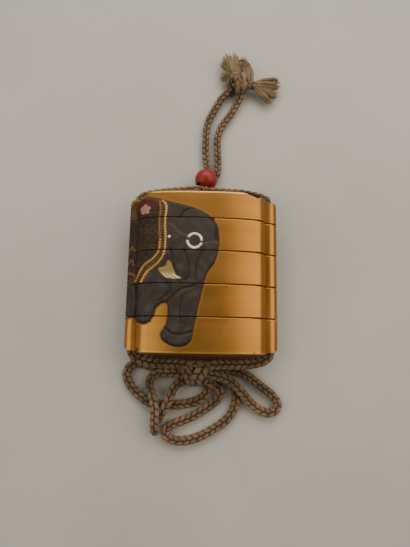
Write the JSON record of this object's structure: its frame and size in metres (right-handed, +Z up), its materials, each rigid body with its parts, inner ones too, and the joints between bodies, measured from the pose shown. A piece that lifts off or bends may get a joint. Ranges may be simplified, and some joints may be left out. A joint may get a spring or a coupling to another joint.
{
  "type": "inro case",
  "caption": "Stacked oblong case of gold lacquer with rounded sides and an elephant in low relief, its silk cord running through side channels to a bead, knots and frayed ends.",
  "frame": {"origin": "under the middle of the case, on the surface that it lies on", "axes": "+Y along the case towards its lid, +X to the case's right seen from the front, +Z up through the front face"},
  "size_m": [0.0716, 0.1935, 0.0234],
  "materials": {
    "lacquer": "gold lacquer over wood, brushed and worn",
    "cord": "braided silk, faded",
    "bead": "polished coral red"
  },
  "bodies": {
    "root": {"lid": "lacquer", "case_1": "lacquer", "case_2": "lacquer", "case_3": "lacquer", "case_4": "lacquer", "cord_channel_left": "cord", "cord_channel_right": "cord", "cord_lid_left": "cord", "cord_lid_right": "cord", "cord_upper_left": "cord", "cord_upper_right": "cord", "cord_lower_left": "cord", "cord_lower_right": "cord", "cord_loop_left": "cord", "cord_loop_narrow": "cord", "cord_loop_bottom": "cord", "cord_loop_right": "cord", "bead": "bead", "bow_knot": "cord", "top_knot": "cord", "tuft_upper": "cord", "tuft_right": "cord"}
  },
  "joints": []
}
